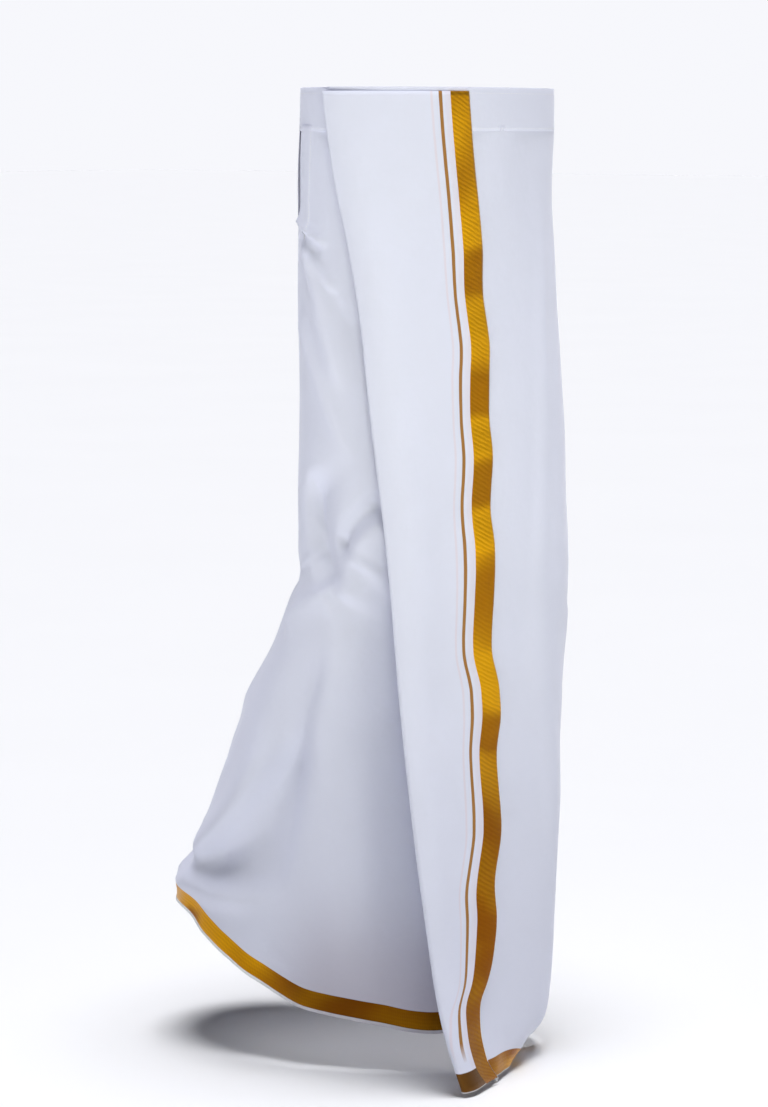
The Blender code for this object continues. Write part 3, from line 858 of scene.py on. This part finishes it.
def stitch_tree():
    """Nodes that lay stitches of a length at a pitch along the paths of a mesh of edges."""
    tree = bpy.data.node_groups.new("running_stitches", "GeometryNodeTree")
    sockets = {}
    for name, kind in (("Paths", "NodeSocketGeometry"), ("Pitch", "NodeSocketFloat"),
                       ("Stitch Length", "NodeSocketFloat"), ("Yarn Radius", "NodeSocketFloat"),
                       ("Thread", "NodeSocketMaterial")):
        sockets[name] = tree.interface.new_socket(name, in_out="INPUT", socket_type=kind).identifier
    tree.interface.new_socket("Stitches", in_out="OUTPUT", socket_type="NodeSocketGeometry")

    def add(kind, settings=(), **fed):
        made = tree.nodes.new(kind)
        for key, value in dict(settings).items():
            setattr(made, key, value)
        for key, value in fed.items():
            socket = made.inputs[key.replace("_", " ")]
            if isinstance(value, bpy.types.NodeSocket):
                tree.links.new(value, socket)
            else:
                socket.default_value = value
        return made

    given = tree.nodes.new("NodeGroupInput").outputs
    paths = add("GeometryNodeMeshToCurve", Mesh=given["Paths"]).outputs["Curve"]
    spaced = add("GeometryNodeResampleCurve", {"mode": "LENGTH"}, Curve=paths,
                 Length=given["Pitch"]).outputs["Curve"]
    along = add("GeometryNodeInputTangent").outputs[0]
    turned = add("FunctionNodeAlignRotationToVector", {"axis": "Z"}, Vector=along).outputs[0]
    thread = add("GeometryNodeMeshUVSphere", Segments=6, Rings=5, Radius=0.5).outputs["Mesh"]
    wide = add("ShaderNodeMath", {"operation": "MULTIPLY"})
    tree.links.new(given["Yarn Radius"], wide.inputs[0])
    wide.inputs[1].default_value = 2.0
    size = add("ShaderNodeCombineXYZ", X=wide.outputs[0], Y=wide.outputs[0],
               Z=given["Stitch Length"]).outputs[0]
    laid = add("GeometryNodeInstanceOnPoints", Points=spaced, Instance=thread, Rotation=turned,
               Scale=size).outputs["Instances"]
    plain = add("GeometryNodeRealizeInstances", Geometry=laid).outputs["Geometry"]
    smooth = add("GeometryNodeSetShadeSmooth", Geometry=plain).outputs["Geometry"]
    done = add("GeometryNodeSetMaterial", Geometry=smooth, Material=given["Thread"])
    tree.links.new(done.outputs["Geometry"], tree.nodes.new("NodeGroupOutput").inputs[0])
    return tree, sockets


def stitches(name, lines, tree, sockets, thread):
    """Rows of running stitches along lines of points, as one plain mesh."""
    points, edges = [], []
    for line in lines:
        base = len(points)
        points += [tuple(p) for p in line]
        edges += [(base + i, base + i + 1) for i in range(len(line) - 1)]
    mesh = bpy.data.meshes.new(name + "_paths")
    mesh.from_pydata(points, edges, [])
    thing = bpy.data.objects.new(name, mesh)
    bpy.context.scene.collection.objects.link(thing)
    sewing = thing.modifiers.new("sewing", "NODES")
    sewing.node_group = tree
    for socket, value in (("Pitch", STITCH_PITCH), ("Stitch Length", STITCH_LONG),
                          ("Yarn Radius", YARN_THICK / 2), ("Thread", thread)):
        sewing[sockets[socket]] = value
    sewn = bpy.data.meshes.new_from_object(thing.evaluated_get(bpy.context.evaluated_depsgraph_get()))
    thing.modifiers.remove(sewing)
    thing.data = sewn
    return thing


def on_cloth(station, drop):
    """Where stitches lie on the cloth along a line of stations at a line of drops."""
    flat, facing = settle(station, drop)
    lift = crease_height(station, drop) + ripple(station, hem_at(station) - drop)
    flat = flat + (lift + COTTON_THICK / 2 + STITCH_PROUD)[:, None] * outward(facing)
    return np.column_stack((flat, -drop))


def on_band(station, drop):
    """Where stitches lie on the waistband along a line of stations at one drop."""
    flat, facing = settle(station, drop)
    flat = flat + (BAND_THICK / 2 + STITCH_PROUD) * outward(facing)
    return np.column_stack((flat, np.full(len(station), -drop)))


def sweep_tube(name, paths, radius, material, sides=6):
    """Thin round threads along lines of points, closed at their ends."""
    points, faces = [], []
    askew = (0.3, 0.5, 0.8)
    for path in paths:
        base = len(points)
        for i, p in enumerate(path):
            ahead = path[min(i + 1, len(path) - 1)] - path[max(i - 1, 0)]
            ahead = ahead / np.linalg.norm(ahead)
            side = np.cross(ahead, askew)
            side = side / np.linalg.norm(side)
            up = np.cross(ahead, side)
            for turn in np.arange(sides) * 2 * math.pi / sides:
                points.append(p + radius * (math.cos(turn) * side + math.sin(turn) * up))
        for i in range(len(path) - 1):
            for k in range(sides):
                a, b = base + sides * i + k, base + sides * i + (k + 1) % sides
                faces.append((a, b, b + sides, a + sides))
        faces.append(tuple(base + k for k in reversed(range(sides))))
        faces.append(tuple(base + sides * (len(path) - 1) + k for k in range(sides)))
    mesh = bpy.data.meshes.new(name)
    mesh.from_pydata([tuple(p) for p in points], [], faces)
    mesh.shade_smooth()
    return new_object(name, mesh, material)


def waistband_grid():
    """Points and woven places of the waistband, folded over at its top: up its outer side, round the
    fold and down its inner side."""
    share = shares(0.0, fold_station(0.0) - INNER_END, ())
    half = BAND_THICK / 2 - COTTON_THICK / 2
    drops = [BAND_TALL - d for d in np.linspace(0, BAND_TALL - half, 9)]
    turns = np.radians((30, 60, 90, 120, 150))
    section = [(d, half) for d in drops]
    section += [(half * (1 - math.sin(t)), half * math.cos(t)) for t in turns]
    section += [(d, -half) for d in reversed(drops)]
    rows, places = [], []
    walked = 0.0
    for i, (drop, off) in enumerate(section):
        if i:
            walked += math.hypot(drop - section[i - 1][0], off - section[i - 1][1])
        start, end = INNER_END, fold_station(drop)
        station = start + share * (end - start)
        level = np.full_like(station, drop)
        flat, facing = settle(station, level)
        wave = BAND_WAVE * np.sin(2 * np.pi * station / BAND_WAVE_PITCH)
        wave = wave * ease((BAND_TALL - drop) / BAND_WAVE_FADE)
        flat = flat + (off + wave)[:, None] * outward(facing)
        rows.append(np.column_stack((flat, -level)))
        places.append(np.column_stack((station, CLEAR_OF_BORDERS + walked + 0 * station)))
    return np.stack(rows), np.stack(places)


# Finishes
white = woven_cotton("white_cotton", end_band=False)
ended = woven_cotton("zari_end_cotton", end_band=True)
bag_twill = pocketing("pocket_cotton")
thread = sewing_thread("sewing_thread")

# The wrap: from the inner seam round the side, the back and the left to the folded edge, slit at the
# side line for the pocket
wrap_top = BAND_TALL - BAND_LAP


def inner_seam(drop):
    return station_at(INNER_SEAM_ANGLE, drop)


def side_line(drop):
    return 0.0 * drop


down = shares(wrap_top, WRAP_LOW, FINE_DOWN)
front_across = shares(inner_seam(HEM_READ), 0.0, FINE_ACROSS)
back_across = shares(0.0, fold_station(HEM_READ), FINE_ACROSS)
side, side_places = cloth_grid(inner_seam, side_line, wrap_top, front_across, down)
rest, rest_places = cloth_grid(mouth, fold_station, wrap_top, back_across, down)
wrap = cloth("wrap_cloth", (side, rest), (side_places, rest_places), white)
dress(wrap, "white_cotton", "right_side", "back", "left_side", "outer_lap")


# The inner lap, under the outer one
def inner_end(drop):
    return INNER_END + 0.0 * drop


def lap_seam(drop):
    return inner_seam(drop) - SEAM_GAP


lap_across = shares(INNER_END, inner_seam(HEM_READ), ())
lap_down = shares(wrap_top, WRAP_LOW, ())
lap, lap_places = cloth_grid(inner_end, lap_seam, wrap_top, lap_across, lap_down)
inner_lap = cloth("inner_lap_cloth", (lap,), (lap_places,), white)
dress(inner_lap, "white_cotton", "inner_lap")

# The end turned back over the lap
turned, turned_places = turned_grid(shares(END_TOP, END_LOW, FINE_END))
turned_end = cloth("turned_end_cloth", (turned,), (turned_places,), ended)
dress(turned_end, "zari_end_cotton", "turned_end")

# The waistband
band, band_places = waistband_grid()
waistband = cloth("waistband_cloth", (band,), (band_places,), white)
dress(waistband, "white_cotton", "waistband")

# The pocket bag
bag, bag_places = bag_grid()
pocket_bag = cloth("pocket_bag_cloth", (bag,), (bag_places,), bag_twill, floor=True)
dress(pocket_bag, "pocket_cotton", "pocket_bag")

# Rows of stitches: along both lips of the pocket's mouth, and along the waistband's edges
tree, sockets = stitch_tree()
lip_drops = np.linspace(wrap_top + LIP_STITCH_TOP, MOUTH_LOW - LIP_STITCH_FOOT, 40)
front_lip = -LIP_HEM + 0.0 * lip_drops
rear_lip = mouth(lip_drops) + LIP_STITCH_IN
pocket_rows = stitches("pocket_stitches", (on_cloth(front_lip, lip_drops), on_cloth(rear_lip, lip_drops)),
                       tree, sockets, thread)
dress(pocket_rows, "white_cotton")
around = np.linspace(INNER_END + 0.002, fold_station(0.04) - 0.004, 330)
band_rows = stitches("waistband_stitches",
                     (on_band(around, BAND_TALL - BAND_STITCH_IN), on_band(around, TOP_STITCH_IN)),
                     tree, sockets, thread)
dress(band_rows, "white_cotton")

# Loose yarns at the free edge's lower corner. They start along the last columns of its hem and hang
# down, each leaning a little and waved.
draw = np.random.default_rng(7)
corner, along_hem = turned[-1, -1], turned[-1, -8]
away = (corner - along_hem) / np.linalg.norm(corner - along_hem)
hang = np.array((0.0, 0.0, -1.0))
sway = np.array((-0.6, -0.7, 0.0)) * 0.0006
yarns = []
for i in range(LOOSE_YARNS):
    start = corner + (along_hem - corner) * draw.uniform(0.0, LOOSE_REACH) / LOOSE_SPAN
    lean = draw.uniform(-0.5, 0.9)
    long = draw.uniform(LOOSE_SHORTEST, LOOSE_LONGEST) * 0.8
    yarns.append([start + (away * lean + hang) * s * long + sway * math.sin(3 * s + i)
                  for s in (-0.3, 0, 0.35, 0.7, 1)])
loose = sweep_tube("loose_yarns", yarns, LOOSE_RADIUS, thread)
dress(loose, "zari_end_cotton")


def floor():
    """A plain pale floor, wide enough to fill the view."""
    corners = ((-1, -1), (1, -1), (1, 1), (-1, 1))
    mesh = bpy.data.meshes.new("floor")
    mesh.from_pydata([(x * FLOOR_REACH, y * FLOOR_REACH, FLOOR_LEVEL) for x, y in corners], [],
                     [(0, 1, 2, 3)])
    material = bpy.data.materials.new("pale_floor")
    material.use_nodes = True
    shader = material.node_tree.nodes["Principled BSDF"]
    solid = Value(material.node_tree.nodes.new("ShaderNodeTexCoord").outputs[3])
    mottle = noise(solid, 1.7)
    feed(shader, "Base Color", mottle.tint(rgba(0.91, 0.915, 0.90), rgba(0.93, 0.935, 0.92)))
    shader.inputs["Roughness"].default_value = 0.9
    shader.inputs["Specular IOR Level"].default_value = 0.1
    thing = new_object("floor", mesh, material)


def lamp(name, kind, spot, aim, energy, colour):
    """A soft lamp at a spot, turned to its aim."""
    light = bpy.data.lights.new(name, kind)
    light.energy = energy
    light.color = colour
    if kind == "SUN":
        light.angle = math.radians(SUN_SPREAD)
    else:
        light.shadow_soft_size = LAMP_SIZE
        light.spot_size = math.radians(LAMP_CONE)
        light.spot_blend = 1.0
    thing = bpy.data.objects.new(name, light)
    thing.location = spot
    thing.rotation_euler = (Vector(spot) - Vector(aim)).to_track_quat("Z", "Y").to_euler()
    bpy.context.scene.collection.objects.link(thing)


def studio():
    """A pale room with a dark ceiling and a soft sun overhead. The key lamp stands before the right
    side, with weaker ones at the front and low before the right leg, and one behind the right side."""
    world = bpy.data.worlds.new("studio")
    bpy.context.scene.world = world
    world.use_nodes = True
    tree = world.node_tree
    split = tree.nodes.new("ShaderNodeSeparateXYZ")
    tree.links.new(tree.nodes.new("ShaderNodeTexCoord").outputs[0], split.inputs[0])
    height = Value(split.outputs[2])
    wall, ceiling = rgba(0.93, 0.935, 0.975), rgba(0.02, 0.02, 0.03)
    stops = ((0.0, wall), (WALL_TOP, wall), (CEILING_FROM, ceiling), (1.0, ceiling))
    room = height.node("ShaderNodeValToRGB", {"stops": stops}, {0: height})
    tree.links.new(room.socket, tree.nodes["Background"].inputs["Color"])
    lamp("above", "SUN", (0.0, -0.4, 5.0), (0.0, 0.0, 0.0), 3.34, (0.95, 0.95, 1.0))
    lamp("key", "SPOT", (-1.436, -1.319, -0.55), (0.0, 0.0, 0.32), 58.0, (1.0, 1.0, 0.82))
    lamp("front", "SPOT", (0.170, -1.943, -0.30), (0.0, 0.0, 0.32), 8.0, (0.97, 1.0, 0.90))
    lamp("low", "SPOT", (-0.667, -1.832, -0.70), (0.0, 0.0, -0.70), 11.0, (0.98, 1.0, 0.84))
    lamp("rear", "SPOT", (-1.253, 1.494, -0.30), (0.0, 0.0, 0.25), 25.0, (0.96, 0.98, 1.0))
    bpy.context.scene.view_settings.view_transform = "Standard"


def camera():
    """Looks at the right side of the wearer's front, from 3.6 metres, a little downward."""
    lens = bpy.data.cameras.new("camera")
    lens.lens = VIEW_LENS
    lens.sensor_width = VIEW_SENSOR
    thing = bpy.data.objects.new("camera", lens)
    thing.location = VIEW_SPOT
    thing.rotation_euler = Euler((math.radians(90 - VIEW_DOWN), 0.0, math.radians(VIEW_TURN)), "XYZ")
    bpy.context.scene.collection.objects.link(thing)
    bpy.context.scene.camera = thing


floor()
studio()
camera()
